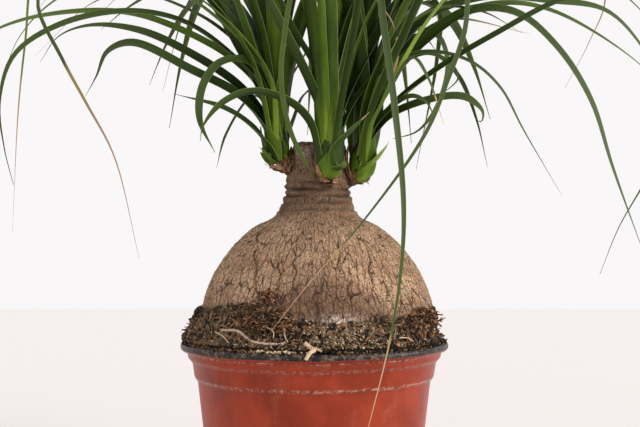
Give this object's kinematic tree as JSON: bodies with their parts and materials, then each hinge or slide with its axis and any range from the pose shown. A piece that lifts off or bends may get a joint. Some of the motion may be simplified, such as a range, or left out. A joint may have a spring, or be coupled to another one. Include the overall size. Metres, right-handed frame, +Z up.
{
  "type": "potted ponytail palm",
  "caption": "Ponytail palm with a swollen corky trunk and arching strap leaves in heads, standing in its soil in a plain round nursery pot.",
  "frame": {"origin": "centre of the pot's underside, on the surface that it stands on", "axes": "+Z up; +X to the right and +Y away from the viewer, as the picture shows the plant"},
  "size_m": [0.588, 0.4146, 0.526],
  "materials": {
    "pot_plastic": "satin",
    "soil": "matte",
    "bark": "matte",
    "leaf": "satin",
    "pale_wood": "matte",
    "tan_wood": "matte"
  },
  "bodies": {
    "root": {"pot": "pot_plastic", "soil": "soil", "trunk": "bark", "head_left": "leaf", "head_centre": "leaf", "head_right": "leaf", "twig": "pale_wood", "bark_chip": "tan_wood"}
  },
  "joints": []
}
